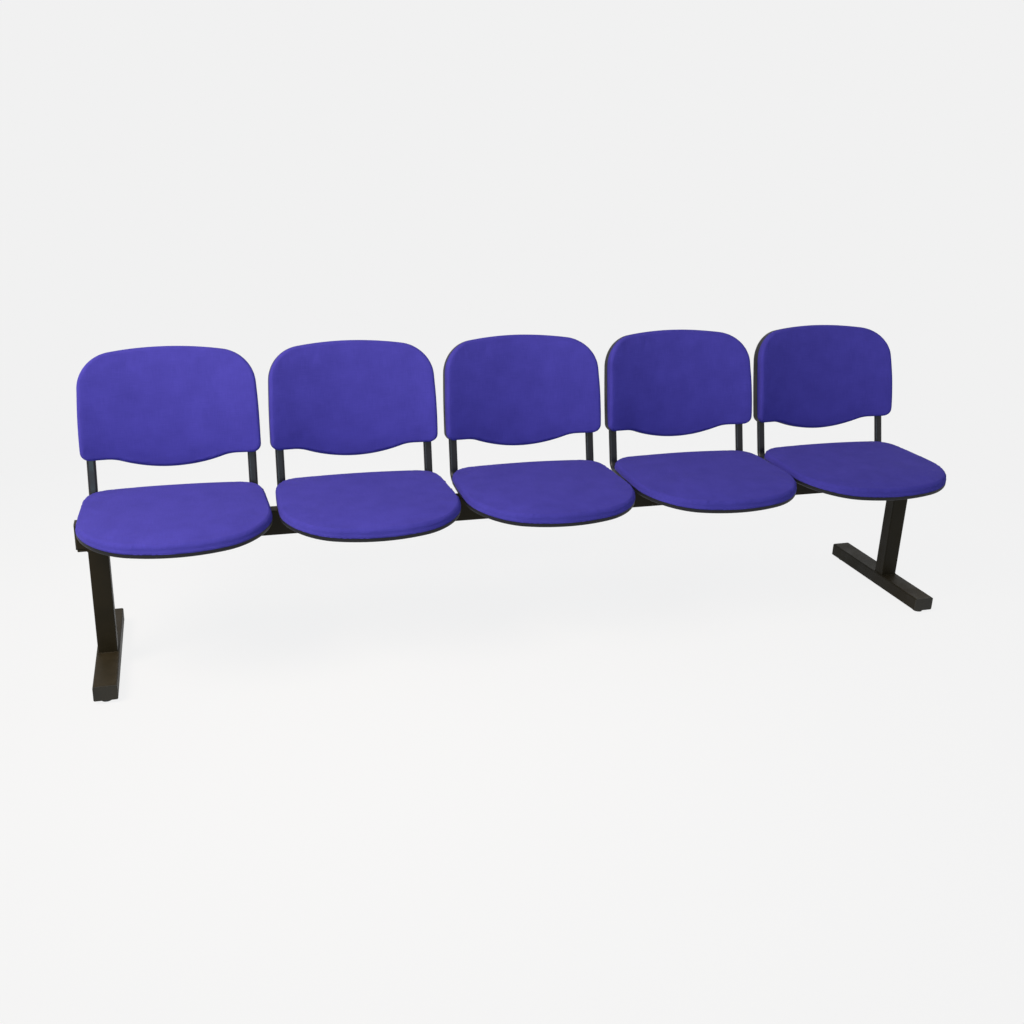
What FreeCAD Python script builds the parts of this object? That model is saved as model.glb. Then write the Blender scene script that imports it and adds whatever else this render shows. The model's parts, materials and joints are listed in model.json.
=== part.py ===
import FreeCAD, Part
import math
import os

import Sketcher
from FreeCAD import Placement, Rotation, Vector

# Beam seating: five upholstered places on one steel beam with two T-shaped legs.
# Millimetres. X runs along the beam, -Y is the front where people sit down, Z is up.
# The origin is on the floor, in the middle of the whole object.

doc = FreeCAD.newDocument("beam_seating")
sheet = doc.addObject("Spreadsheet::Sheet", "sizes")

# Driving sizes: name, value, meaning
SIZES = [
    ("seat_count", 5, "places side by side"),
    ("seat_pitch", 500, "from one place to the next"),
    ("beam_overhang", 250, "beam's end beyond the middle of the last place"),
    ("leg_inset", 50, "leg column's middle in from the beam's end"),
    ("beam_height", 70, "beam section, upright"),
    ("beam_depth", 40, "beam section, front to back"),
    ("beam_wall", 2.5, "beam wall"),
    ("beam_corner", 4, "outer corner radius of the beam section"),
    ("beam_nut_radius", 8, "nut welded in the beam over each leg bolt"),
    ("beam_nut_height", 8, "nut welded in the beam over each leg bolt"),
    ("glide_height", 10, "levelling glide showing below the foot"),
    ("glide_pad_radius", 14, "glide's round pad"),
    ("glide_pad_height", 6, "glide's round pad"),
    ("glide_pad_taper", 2.5, "how much the pad narrows to its top"),
    ("glide_neck_radius", 8, "collar that stops against the foot"),
    ("glide_stem_radius", 5, "threaded stem"),
    ("glide_travel", 12, "how far the glide screws out"),
    ("glide_engagement", 10, "thread left in the nut when screwed out"),
    ("glide_inset", 25, "glide axis from the foot's end"),
    ("stem_clearance", 0.06, "stem to nut thread, radial"),
    ("nut_boss_radius", 9, "nut welded inside the foot"),
    ("nut_boss_height", 10, "nut welded inside the foot"),
    ("foot_height", 40, "foot section, upright"),
    ("foot_width", 60, "foot section, across"),
    ("foot_length", 444, "cut length of the foot tube"),
    ("foot_setback", 24, "foot's middle behind the column's middle"),
    ("foot_wall", 2, "foot wall"),
    ("foot_corner", 4, "outer corner radius of the foot section"),
    ("column_width", 50, "column section along the beam"),
    ("column_depth", 40, "column section, front to back"),
    ("column_wall", 2, "column wall"),
    ("column_corner", 3, "outer corner radius of the column section"),
    ("column_length", 295, "column tube between foot and top plate"),
    ("leg_plate_length", 100, "plate on the column's top"),
    ("leg_plate_thickness", 5, "plate on the column's top"),
    ("leg_bolt_spacing", 68, "between the two bolts of a leg plate"),
    ("bolt_radius", 4, "M8 bolt"),
    ("leg_bolt_length", 16, "under the head"),
    ("bolt_head_across", 13, "M8 hexagon head, across flats"),
    ("bolt_head_height", 5.3, "M8 hexagon head"),
    ("cap_flange", 3, "end cap's visible plate"),
    ("cap_plug", 7, "how deep an end cap's plug goes in"),
    ("cap_clearance", 0.2, "plug to tube wall"),
    ("hole_clearance", 0.25, "bolt to its hole, radial"),
    ("seat_width", 482, "widest, across the flanks"),
    ("seat_depth", 411, "front nose to rear edge"),
    ("seat_overhang", 269, "front nose ahead of the beam's middle"),
    ("seat_nose_radius", 460, "front edge in plan"),
    ("seat_flank_radius", 168, "front corners in plan"),
    ("seat_side_radius", 2400, "sides in plan, drawn in to the rear"),
    ("seat_rear_corner", 68, "rear corners in plan"),
    ("seat_rear_radius", 5000, "bowed rear edge in plan"),
    ("seat_bend_length", 155, "front of the seat that turns down"),
    ("seat_bend_radius", 900, "board where it turns down in front"),
    ("seat_pad_height", 25, "upholstery at the crown"),
    ("seat_crown", 4.5, "crown above the pad's sides"),
    ("seat_edge_round", 9, "rounding of the pad's upper edge"),
    ("pad_tuck", 1, "fabric drawn in where it meets a cover"),
    ("seat_board_thickness", 9, "plywood under the foam"),
    ("cover_wall", 2.5, "moulded cover"),
    ("board_clearance", 0.5, "board edge to the cover's rim"),
    ("seat_cover_round", 5, "rounded lower edge of the seat cover"),
    ("back_width", 474, "widest, at the bottom corners"),
    ("back_height", 299, "corner tabs to the top of the arch"),
    ("back_top_radius", 920, "arched top edge"),
    ("back_shoulder", 100, "upper corners"),
    ("back_side_radius", 3300, "sides, drawn in to the top"),
    ("back_corner", 24, "bottom corners"),
    ("back_lobe", 28, "drop of the bottom edge's middle"),
    ("back_lobe_radius", 420, "bottom edge's middle"),
    ("back_blend_radius", 120, "from the tabs into the lobe"),
    ("back_bend_radius", 700, "board bent round the sitter, in plan"),
    ("back_pad_thickness", 13, "upholstery at its edge"),
    ("back_crown", 14, "upholstery's swell at mid height"),
    ("back_edge_round", 8, "rounding of the pad's front edge"),
    ("back_board_thickness", 6, "moulded board behind the foam"),
    ("back_cavity", 24, "room for the tube between board and cover"),
    ("back_cover_round", 21, "rounded rear edge of the back cover"),
    ("back_lean", 14, "degrees behind upright"),
    ("back_base_setback", 190, "foot of the back board behind the beam's middle"),
    ("back_base_rise", 63, "corner tabs above the top of the seat's crown"),
    ("tube_width", 24, "flat oval tube, across"),
    ("tube_depth", 13, "flat oval tube"),
    ("tube_wall", 1.5, "flat oval tube"),
    ("tube_spacing", 424, "between the two tubes of a place"),
    ("tube_bend_radius", 30, "middle line of the bend"),
    ("tube_beam_gap", 1, "tube's front end behind the beam"),
    ("tube_in_back", 165, "tube's length inside the back"),
    ("tube_board_gap", 1, "tube to the back board"),
    ("tube_slot_clearance", 0.6, "tube to the slot in the back cover"),
    ("saddle_front", 75, "seat plate ahead of the beam's middle"),
    ("saddle_rear", 105, "seat plate behind the beam's middle"),
    ("saddle_thickness", 4, "seat plate and its two ears"),
    ("saddle_weld_gap", 0.15, "seat plate to the tubes it is welded to"),
    ("saddle_beam_gap", 0.3, "ears to the beam's faces"),
    ("ear_length", 130, "ear along the beam"),
    ("ear_height", 45, "ear down the beam's face"),
    ("saddle_bolt_spacing", 80, "between the two bolts of a place"),
    ("saddle_bolt_drop", 25, "bolt below the beam's top"),
    ("saddle_bolt_length", 58, "under the head"),
    ("saddle_nut_radius", 8, "nut welded on the rear ear"),
    ("saddle_nut_height", 8, "nut welded on the rear ear"),
    ("screw_radius", 3, "M6 screw"),
    ("seat_screw_length", 14, "under the head"),
    ("back_screw_length", 20, "under the head"),
    ("screw_head_radius", 5.5, "low pan head"),
    ("screw_head_height", 3, "low pan head"),
    ("seat_screw_spacing", 300, "across a place"),
    ("seat_screw_front", 60, "ahead of the beam's middle"),
    ("seat_screw_rear", 88, "behind the beam's middle"),
    ("back_screw_low", 60, "lower screw above the corner tabs"),
    ("back_screw_high", 140, "upper screw above the corner tabs"),
]

for row, (alias, number, meaning) in enumerate(SIZES, start=1):
    sheet.set("A%d" % row, alias)
    sheet.set("B%d" % row, str(number))
    sheet.set("C%d" % row, meaning)
    sheet.setAlias("B%d" % row, alias)
doc.recompute()


def value(expression):
    """Number that an expression on the sheet gives."""
    return float(sheet.evalExpression(expression))


def size(alias):
    """Number in one cell of the sheet."""
    return float(sheet.get(alias))


# Lengths that follow from the number of places, as expressions on the sheet
BEAM_LENGTH = "((sizes.seat_count - 1)*sizes.seat_pitch + 2*sizes.beam_overhang)"
LEG_SPACING = "(%s - 2*sizes.leg_inset)" % BEAM_LENGTH

# Heights and places that follow from the sizes
half_beam = value(BEAM_LENGTH) / 2
half_legs = value(LEG_SPACING) / 2
foot_top = size("glide_height") + size("foot_height")
beam_bottom = foot_top + size("column_length") + size("leg_plate_thickness")
beam_top = beam_bottom + size("beam_height")
saddle_top = beam_top + size("saddle_thickness")
seat_board_bottom = saddle_top + size("cover_wall")
seat_rim = seat_board_bottom + size("seat_board_thickness")
seat_top = seat_rim + size("seat_pad_height")
back_base = seat_top + size("back_base_rise")

board_front_radius = size("back_bend_radius")
pad_front_radius = board_front_radius - size("back_pad_thickness")
board_rear_radius = board_front_radius + size("back_board_thickness")
cover_inner_radius = board_rear_radius + size("back_cavity")
cover_outer_radius = cover_inner_radius + size("cover_wall")

lean = math.radians(size("back_lean"))
half_tubes = size("tube_spacing") / 2

# The middle of the object's depth is Y = 0: its front is the seat's nose, and its
# rear is the rounded upper edge of the back cover.
edge_round = size("back_cover_round")
rear_reach = (
    size("back_base_setback")
    + (cover_outer_radius - board_front_radius - edge_round) * math.cos(lean)
    + (size("back_height") - edge_round) * math.sin(lean)
    + edge_round
)
beam_y = (size("seat_overhang") - rear_reach) / 2
seat_nose = beam_y - size("seat_overhang")
seat_tail = seat_nose + size("seat_depth")
seat_bend_y = seat_nose + size("seat_bend_length")
seat_bend_z = seat_rim - size("seat_bend_radius")

# Where the oval tubes stand: their round side clears the back board, which is bent
# round the sitter, so the tube's middle lies on a circle about the bend's axis.
turn = math.asin(half_tubes / board_rear_radius)
tube_reach = (size("tube_width") - size("tube_depth")) / 2 * math.sin(turn) + size("tube_depth") / 2
tube_circle = board_rear_radius + size("tube_board_gap") + tube_reach
tube_in_back_y = math.sqrt(tube_circle**2 - half_tubes**2) - board_front_radius
tube_level = saddle_top - size("tube_depth") / 2
tube_front = beam_y + size("beam_depth") / 2 + size("tube_beam_gap")

places = [
    (number + 1, (number - (size("seat_count") - 1) / 2) * size("seat_pitch"))
    for number in range(int(size("seat_count")))
]
sides = [("left", -1), ("right", 1)]

nodes = []


def keep(thing, label):
    """Name a finished sub-part, and note it for the parts folder."""
    thing.Label = label
    nodes.append(thing)
    return thing


# Sketch helpers: every size is an expression on the sheet


def new_body(name, x=0, y=0, z=0, rotation=None):
    """Empty body at its place."""
    body = doc.addObject("PartDesign::Body", name)
    body.Placement = Placement(Vector(x, y, z), rotation or Rotation())
    return body


def new_sketch(body, role, lift=None):
    """Sketch on one of the body's own origin planes, lifted along its normal."""
    sketch = body.newObject("Sketcher::SketchObject", "outline")
    support = next(f for f in body.Origin.OriginFeatures if f.Role == role)
    sketch.AttachmentSupport = [(support, "")]
    sketch.MapMode = "FlatFace"
    if lift:
        sketch.setExpression(".AttachmentOffset.Base.z", lift)
    return sketch


def dimension(sketch, kind, *arguments, expression):
    """Dimension whose value comes from the sheet."""
    index = sketch.addConstraint(Sketcher.Constraint(kind, *arguments, value(expression)))
    sketch.setExpression("Constraints[%d]" % index, expression)


def fix_point(sketch, geometry, point, x, y):
    """Hold a point at sheet-driven coordinates."""
    for kind, axis, expression in (("DistanceX", -2, x), ("DistanceY", -1, y)):
        distance = value(expression)
        if abs(distance) < 1e-9:
            sketch.addConstraint(Sketcher.Constraint("PointOnObject", geometry, point, axis))
        elif distance > 0:
            dimension(sketch, kind, -1, 1, geometry, point, expression=expression)
        else:
            dimension(sketch, kind, geometry, point, -1, 1, expression="-(%s)" % expression)


def polygon(sketch, corners):
    """Closed outline of straight lines through sheet-driven corners."""
    points = [Vector(value(x), value(y), 0) for x, y in corners]
    first = sketch.GeometryCount
    count = len(points)
    for index in range(count):
        sketch.addGeometry(Part.LineSegment(points[index], points[(index + 1) % count]))
    for index, (x, y) in enumerate(corners):
        before = first + (index - 1) % count
        sketch.addConstraint(Sketcher.Constraint("Coincident", before, 2, first + index, 1))
        fix_point(sketch, first + index, 1, x, y)


def rectangle(sketch, width, height, x="0", y="0"):
    """Rectangle round a middle point."""
    left, right = "%s - (%s)/2" % (x, width), "%s + (%s)/2" % (x, width)
    low, high = "%s - (%s)/2" % (y, height), "%s + (%s)/2" % (y, height)
    polygon(sketch, [(left, low), (right, low), (right, high), (left, high)])


def circle(sketch, radius, x="0", y="0"):
    """Circle round a sheet-driven middle."""
    centre = Vector(value(x), value(y), 0)
    index = sketch.addGeometry(Part.Circle(centre, Vector(0, 0, 1), value(radius)))
    fix_point(sketch, index, 3, x, y)
    dimension(sketch, "Radius", index, expression=radius)


def rounded_rectangle(sketch, width, height, corner):
    """Tube section centred on the origin, with equal round corners."""
    half_w, half_h, r = value(width) / 2, value(height) / 2, value(corner)
    first = sketch.GeometryCount
    middles = [(half_w - r, -half_h + r), (half_w - r, half_h - r)]
    middles += [(-half_w + r, half_h - r), (-half_w + r, -half_h + r)]
    for quarter, (x, y) in enumerate(middles):
        start = math.radians(90 * quarter - 90)
        ring = Part.Circle(Vector(x, y, 0), Vector(0, 0, 1), r)
        sketch.addGeometry(Part.ArcOfCircle(ring, start, start + math.pi / 2))
    for quarter in range(4):
        arc, following = sketch.Geometry[first + quarter], sketch.Geometry[first + (quarter + 1) % 4]
        sketch.addGeometry(Part.LineSegment(arc.EndPoint, following.StartPoint))
    for quarter in range(4):
        line = first + 4 + quarter
        sketch.addConstraint(Sketcher.Constraint("Tangent", first + quarter, 2, line, 1))
        sketch.addConstraint(Sketcher.Constraint("Tangent", line, 2, first + (quarter + 1) % 4, 1))
        upright = "Vertical" if quarter % 2 == 0 else "Horizontal"
        sketch.addConstraint(Sketcher.Constraint(upright, line))
    for quarter in range(1, 4):
        sketch.addConstraint(Sketcher.Constraint("Equal", first, first + quarter))
    dimension(sketch, "Radius", first, expression=corner)
    dimension(sketch, "DistanceX", first + 6, 1, first + 4, 1, expression=width)
    dimension(sketch, "DistanceY", first + 7, 1, first + 5, 1, expression=height)
    sketch.addConstraint(Sketcher.Constraint("Symmetric", first, 3, first + 2, 3, -1, 1))


def flat_oval(sketch, width, depth):
    """Flat oval section centred on the origin: two straights and two half rounds."""
    r = value(depth) / 2
    half = value(width) / 2 - r
    right = Part.ArcOfCircle(
        Part.Circle(Vector(half, 0, 0), Vector(0, 0, 1), r), -math.pi / 2, math.pi / 2
    )
    left = Part.ArcOfCircle(
        Part.Circle(Vector(-half, 0, 0), Vector(0, 0, 1), r), math.pi / 2, 3 * math.pi / 2
    )
    arc_r = sketch.addGeometry(right)
    arc_l = sketch.addGeometry(left)
    top = sketch.addGeometry(Part.LineSegment(Vector(half, r, 0), Vector(-half, r, 0)))
    low = sketch.addGeometry(Part.LineSegment(Vector(-half, -r, 0), Vector(half, -r, 0)))
    for one, one_end, other in ((arc_r, 2, top), (top, 2, arc_l), (arc_l, 2, low), (low, 2, arc_r)):
        sketch.addConstraint(Sketcher.Constraint("Tangent", one, one_end, other, 1))
    sketch.addConstraint(Sketcher.Constraint("Horizontal", top))
    sketch.addConstraint(Sketcher.Constraint("Equal", arc_r, arc_l))
    dimension(sketch, "Radius", arc_r, expression="(%s)/2" % depth)
    dimension(sketch, "DistanceX", arc_l, 3, arc_r, 3, expression="(%s)-(%s)" % (width, depth))
    sketch.addConstraint(Sketcher.Constraint("Symmetric", arc_l, 3, arc_r, 3, -1, 1))


def pad(body, sketch, length, midplane=False, reverse=False):
    """Pad a sketch by a sheet-driven length."""
    feature = body.newObject("PartDesign::Pad", "pad")
    feature.Profile = sketch
    feature.setExpression("Length", length)
    feature.Midplane = midplane
    feature.Reversed = reverse
    return feature


def pocket(body, sketch, depth, reverse=False, midplane=False):
    """Cut a sketch out of the body to a sheet-driven depth."""
    feature = body.newObject("PartDesign::Pocket", "pocket")
    feature.Profile = sketch
    feature.setExpression("Length", depth)
    feature.Reversed = reverse
    feature.Midplane = midplane
    return feature


def sweep(body, profile, path):
    """Pipe of a closed profile along an open path sketch."""
    feature = body.newObject("PartDesign::AdditivePipe", "pipe")
    feature.Profile = profile
    edges = ["Edge%d" % (index + 1) for index in range(path.GeometryCount)]
    feature.Spine = (path, edges)
    return feature


# Beam and legs


def make_beam():
    """Rectangular steel tube, with holes for the leg bolts in its lower wall."""
    body = new_body("beam", y=beam_y, z=beam_bottom + size("beam_height") / 2)
    section = new_sketch(body, "YZ_Plane")
    rounded_rectangle(section, "sizes.beam_depth", "sizes.beam_height", "sizes.beam_corner")
    rounded_rectangle(
        section,
        "sizes.beam_depth - 2*sizes.beam_wall",
        "sizes.beam_height - 2*sizes.beam_wall",
        "sizes.beam_corner - sizes.beam_wall",
    )
    pad(body, section, BEAM_LENGTH, midplane=True)
    bosses = new_sketch(body, "XY_Plane", "sizes.beam_wall/2 - sizes.beam_height/2")
    holes = new_sketch(body, "XY_Plane", "-sizes.beam_height/2")
    for leg in ("-", ""):
        for bolt in ("-", "+"):
            x = "%s%s/2 %s sizes.leg_bolt_spacing/2" % (leg, LEG_SPACING, bolt)
            circle(bosses, "sizes.beam_nut_radius", x)
            circle(holes, "sizes.bolt_radius + sizes.stem_clearance", x)
    pad(body, bosses, "sizes.beam_wall/2 + sizes.beam_nut_height")
    pocket(body, holes, "2*sizes.beam_wall + sizes.beam_nut_height", reverse=True)
    bolts = new_sketch(body, "XZ_Plane")
    for number, _ in places:
        place = "(%d - (sizes.seat_count + 1)/2)*sizes.seat_pitch" % number
        for end in ("-", "+"):
            x = "%s %s sizes.saddle_bolt_spacing/2" % (place, end)
            y = "sizes.beam_height/2 - sizes.saddle_bolt_drop"
            circle(bolts, "sizes.bolt_radius + sizes.hole_clearance", x, y)
    pocket(body, bolts, "2*sizes.beam_depth", midplane=True)
    return keep(body, "beam")


def make_leg(side, sign):
    """Column tube with the plate welded on its top that bolts to the beam."""
    body = new_body("leg_" + side, x=sign * half_legs, y=beam_y, z=foot_top)
    section = new_sketch(body, "XY_Plane")
    rounded_rectangle(section, "sizes.column_width", "sizes.column_depth", "sizes.column_corner")
    rounded_rectangle(
        section,
        "sizes.column_width - 2*sizes.column_wall",
        "sizes.column_depth - 2*sizes.column_wall",
        "sizes.column_corner - sizes.column_wall",
    )
    pad(body, section, "sizes.column_length")
    plate = new_sketch(body, "XY_Plane", "sizes.column_length")
    rounded_rectangle(plate, "sizes.leg_plate_length", "sizes.beam_depth", "sizes.column_corner")
    for x in ("-sizes.leg_bolt_spacing/2", "sizes.leg_bolt_spacing/2"):
        circle(plate, "sizes.bolt_radius + sizes.hole_clearance", x)
    pad(body, plate, "sizes.leg_plate_thickness")
    return keep(body, "leg_column_" + side)


def make_foot(side, sign):
    """Foot tube on the floor, with a welded nut over each glide hole."""
    body = new_body(
        "foot_" + side,
        x=sign * half_legs,
        y=beam_y + size("foot_setback"),
        z=size("glide_height") + size("foot_height") / 2,
    )
    section = new_sketch(body, "XZ_Plane")
    rounded_rectangle(section, "sizes.foot_width", "sizes.foot_height", "sizes.foot_corner")
    rounded_rectangle(
        section,
        "sizes.foot_width - 2*sizes.foot_wall",
        "sizes.foot_height - 2*sizes.foot_wall",
        "sizes.foot_corner - sizes.foot_wall",
    )
    pad(body, section, "sizes.foot_length", midplane=True)
    reach = "(sizes.foot_length/2 + sizes.cap_flange - sizes.glide_inset)"
    bosses = new_sketch(body, "XY_Plane", "-sizes.foot_height/2 + sizes.foot_wall/2")
    holes = new_sketch(body, "XY_Plane", "-sizes.foot_height/2")
    for end in ("-", ""):
        circle(bosses, "sizes.nut_boss_radius", y=end + reach)
        circle(holes, "sizes.glide_stem_radius + sizes.stem_clearance", y=end + reach)
    pad(body, bosses, "sizes.foot_wall/2 + sizes.nut_boss_height")
    pocket(body, holes, "2*sizes.foot_wall + sizes.nut_boss_height", reverse=True)
    return keep(body, "foot_bar_" + side)


def make_glide(side, sign, end, end_sign):
    """Levelling glide: round pad, collar and threaded stem, turned about its axis."""
    reach = size("foot_length") / 2 + size("cap_flange") - size("glide_inset")
    body = new_body(
        "glide_%s_%s" % (end, side),
        x=sign * half_legs,
        y=beam_y + size("foot_setback") + end_sign * reach,
    )
    half = new_sketch(body, "XZ_Plane")
    stem_top = "sizes.glide_height + sizes.foot_wall + sizes.glide_travel + sizes.glide_engagement"
    polygon(
        half,
        [
            ("0", "0"),
            ("sizes.glide_pad_radius", "0"),
            ("sizes.glide_pad_radius - sizes.glide_pad_taper", "sizes.glide_pad_height"),
            ("sizes.glide_neck_radius", "sizes.glide_pad_height"),
            ("sizes.glide_neck_radius", "sizes.glide_height"),
            ("sizes.glide_stem_radius", "sizes.glide_height"),
            ("sizes.glide_stem_radius", stem_top),
            ("0", stem_top),
        ],
    )
    turned = body.newObject("PartDesign::Revolution", "turned")
    turned.Profile = half
    turned.ReferenceAxis = (half, ["V_Axis"])
    turned.Angle = 360
    return keep(body, "glide_%s_%s" % (end, side))


def cap_master(name, width, height, wall, corner):
    """Moulded end cap: a plate with a plug that fits in the tube, along +X."""
    body = new_body(name)
    plate = new_sketch(body, "YZ_Plane")
    rounded_rectangle(plate, width, height, corner)
    pad(body, plate, "sizes.cap_flange")
    plug = new_sketch(body, "YZ_Plane")
    loss = "2*%s - 2*sizes.cap_clearance" % wall
    rounded_rectangle(
        plug,
        "%s - %s" % (width, loss),
        "%s - %s" % (height, loss),
        "%s - %s + sizes.cap_clearance" % (corner, wall),
    )
    pad(body, plug, "sizes.cap_plug", reverse=True)
    return body


# Frame of one place


def make_tube(number, x, side, sign):
    """Flat oval tube: forward under the seat, bent up, and on into the back."""
    body = new_body(
        "tube_%s_%d" % (side, number),
        x=x + sign * half_tubes,
        y=tube_front,
        z=tube_level,
    )
    section = new_sketch(body, "XZ_Plane")
    flat_oval(section, "sizes.tube_width", "sizes.tube_depth")
    flat_oval(
        section,
        "sizes.tube_width - 2*sizes.tube_wall",
        "sizes.tube_depth - 2*sizes.tube_wall",
    )
    # The upright's middle line leans like the back and passes behind the back board.
    foot_y = beam_y + size("back_base_setback") + tube_in_back_y * math.cos(lean)
    foot_z = back_base - tube_in_back_y * math.sin(lean)
    corner_y = foot_y - (foot_z - tube_level) * math.tan(lean)
    run = corner_y - body.Placement.Base.y
    rise = (foot_z - tube_level) / math.cos(lean) + size("tube_in_back")
    radius = size("tube_bend_radius")
    slope = math.pi / 2 - lean
    cut = radius * math.tan(slope / 2)
    up = Vector(math.cos(slope), math.sin(slope), 0)
    corner = Vector(run, 0, 0)
    bend_start = corner - Vector(cut, 0, 0)
    bend_end = corner + up * cut
    ring = Part.Circle(bend_start + Vector(0, radius, 0), Vector(0, 0, 1), radius)
    path = new_sketch(body, "YZ_Plane")
    flat = path.addGeometry(Part.LineSegment(Vector(), bend_start))
    bend = path.addGeometry(Part.ArcOfCircle(ring, -math.pi / 2, -math.pi / 2 + slope))
    upright = path.addGeometry(Part.LineSegment(bend_end, corner + up * rise))
    path.addConstraint(Sketcher.Constraint("Coincident", flat, 1, -1, 1))
    path.addConstraint(Sketcher.Constraint("Horizontal", flat))
    path.addConstraint(Sketcher.Constraint("Tangent", flat, 2, bend, 1))
    path.addConstraint(Sketcher.Constraint("Tangent", bend, 2, upright, 1))
    path.addConstraint(Sketcher.Constraint("DistanceX", flat, 1, flat, 2, run - cut))
    dimension(path, "Radius", bend, expression="sizes.tube_bend_radius")
    path.addConstraint(Sketcher.Constraint("Distance", upright, rise - cut))
    lean_index = path.addConstraint(Sketcher.Constraint("Angle", upright, slope))
    path.setExpression("Constraints[%d]" % lean_index, "(90 - sizes.back_lean) * 1deg")
    sweep(body, section, path)
    # Two cross holes in the upright, square to it, for the screws into the back board
    holes = new_sketch(body, "XZ_Plane")
    foot = Vector(0, foot_z - tube_level, body.Placement.Base.y - foot_y)
    holes.AttachmentOffset = Placement(foot, Rotation(Vector(1, 0, 0), -size("back_lean")))
    for height in ("sizes.back_screw_low", "sizes.back_screw_high"):
        circle(holes, "sizes.screw_radius + sizes.hole_clearance", y=height)
    pocket(body, holes, "2*sizes.tube_depth", midplane=True)
    return keep(body, "frame_tube_%s_%d" % (side, number))


def make_bracket(number, x):
    """Seat plate on the beam, with an ear down each face and nuts welded behind."""
    body = new_body("bracket_%d" % number, x=x, y=beam_y, z=beam_top)
    plate = new_sketch(body, "XY_Plane")
    width = "sizes.tube_spacing - sizes.tube_width - 2*sizes.saddle_weld_gap"
    depth = "sizes.saddle_front + sizes.saddle_rear"
    rectangle(plate, width, depth, y="(sizes.saddle_rear - sizes.saddle_front)/2")
    pad(body, plate, "sizes.saddle_thickness")
    ears = new_sketch(body, "XY_Plane")
    ear = "(sizes.beam_depth/2 + sizes.saddle_beam_gap + sizes.saddle_thickness/2)"
    for face in ("-", ""):
        rectangle(ears, "sizes.ear_length", "sizes.saddle_thickness", y=face + ear)
    pad(body, ears, "sizes.ear_height", reverse=True)
    nuts = new_sketch(body, "XZ_Plane", "-" + ear)
    bolts = new_sketch(body, "XZ_Plane")
    for end in ("-", ""):
        along = end + "sizes.saddle_bolt_spacing/2"
        drop = "-sizes.saddle_bolt_drop"
        circle(nuts, "sizes.saddle_nut_radius", along, drop)
        circle(bolts, "sizes.bolt_radius + sizes.stem_clearance", along, drop)
    pad(body, nuts, "sizes.saddle_thickness/2 + sizes.saddle_nut_height", reverse=True)
    through = "2*(%s + sizes.saddle_thickness + sizes.saddle_nut_height)" % ear
    pocket(body, bolts, through, midplane=True)
    screws = new_sketch(body, "XY_Plane")
    for end in ("-", ""):
        for along in ("-sizes.seat_screw_front", "sizes.seat_screw_rear"):
            radius = "sizes.screw_radius + sizes.hole_clearance"
            circle(screws, radius, end + "sizes.seat_screw_spacing/2", along)
    pocket(body, screws, "2*sizes.saddle_thickness", reverse=True)
    return keep(body, "seat_bracket_%d" % number)


# Fasteners


def hexagon(name, across, height):
    """Hexagonal prism standing on its origin."""
    prism = doc.addObject("Part::Prism", name)
    prism.Polygon = 6
    prism.setExpression("Circumradius", "%s / sqrt(3)" % across)
    prism.setExpression("Height", height)
    return prism


def cylinder(name, radius, height):
    """Round bar standing on its origin."""
    bar = doc.addObject("Part::Cylinder", name)
    bar.setExpression("Radius", radius)
    bar.setExpression("Height", height)
    return bar


def bolt_master(name, length):
    """M8 bolt: shank up along Z, hexagon head below the origin."""
    bolt = doc.addObject("Part::Fuse", name)
    bolt.Base = hexagon(name + "_head", "sizes.bolt_head_across", "sizes.bolt_head_height")
    bolt.Base.setExpression(".Placement.Base.z", "-sizes.bolt_head_height")
    bolt.Tool = cylinder(name + "_shank", "sizes.bolt_radius", length)
    return bolt


def screw_master(name, length):
    """M6 screw: shank up along Z, low round head below the origin."""
    screw = doc.addObject("Part::Fuse", name)
    screw.Base = cylinder(name + "_head", "sizes.screw_head_radius", "sizes.screw_head_height")
    screw.Base.setExpression(".Placement.Base.z", "-sizes.screw_head_height")
    screw.Tool = cylinder(name + "_shank", "sizes.screw_radius", length)
    return screw


def group(label, copies):
    """One node that holds identical separate solids, each master at its place."""
    doc.recompute()
    shapes = []
    for master, placement in copies:
        shape = master.Shape.copy()
        shape.Placement = placement.multiply(shape.Placement)
        shapes.append(shape)
    feature = doc.addObject("Part::Feature", label)
    feature.Shape = Part.makeCompound(shapes)
    return keep(feature, label)


# Outlines of seat and back: chains of tangent arcs, mirrored about the middle


class Arc:
    """Arc of an outline: its middle, radius, angles in degrees, and way of bulging."""

    def __init__(self, x, y, radius, start, end, bulge=1):
        self.x = x
        self.y = y
        self.radius = radius
        self.start = start
        self.end = end
        self.bulge = bulge

    def point(self, angle, inset):
        radius = self.radius - self.bulge * inset
        turn = math.radians(angle)
        return Vector(self.x + radius * math.cos(turn), self.y + radius * math.sin(turn), 0)

    def mirrored(self):
        return Arc(-self.x, self.y, self.radius, 180 - self.end, 180 - self.start, self.bulge)


def outline_face(arcs, inset=0):
    """Face inside a closed chain of arcs, joined by lines where they lie apart."""
    edges = []
    count = len(arcs)
    for index, arc in enumerate(arcs):
        start = arc.point(arc.start, inset)
        middle = arc.point((arc.start + arc.end) / 2, inset)
        end = arc.point(arc.end, inset)
        edges.append(Part.Arc(start, middle, end).toShape())
        following = arcs[(index + 1) % count]
        next_start = following.point(following.start, inset)
        if end.distanceToPoint(next_start) > 1e-4:
            edges.append(Part.makeLine(end, next_start))
    return Part.Face(Part.Wire(Part.__sortEdges__(edges)))


def circle_inside(one, one_radius, other, other_radius, outer_side):
    """Middle of the circle at two distances from two points, on the +X side."""
    across = other - one
    span = across.Length
    along = (one_radius**2 - other_radius**2 + span**2) / (2 * span)
    height = math.sqrt(one_radius**2 - along**2)
    unit = across * (1 / span)
    normal = Vector(-unit.y, unit.x, 0) * outer_side
    return one + unit * along + normal * height


def heading(origin, target):
    """Angle in degrees from one point to another."""
    return math.degrees(math.atan2(target.y - origin.y, target.x - origin.x))


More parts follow.
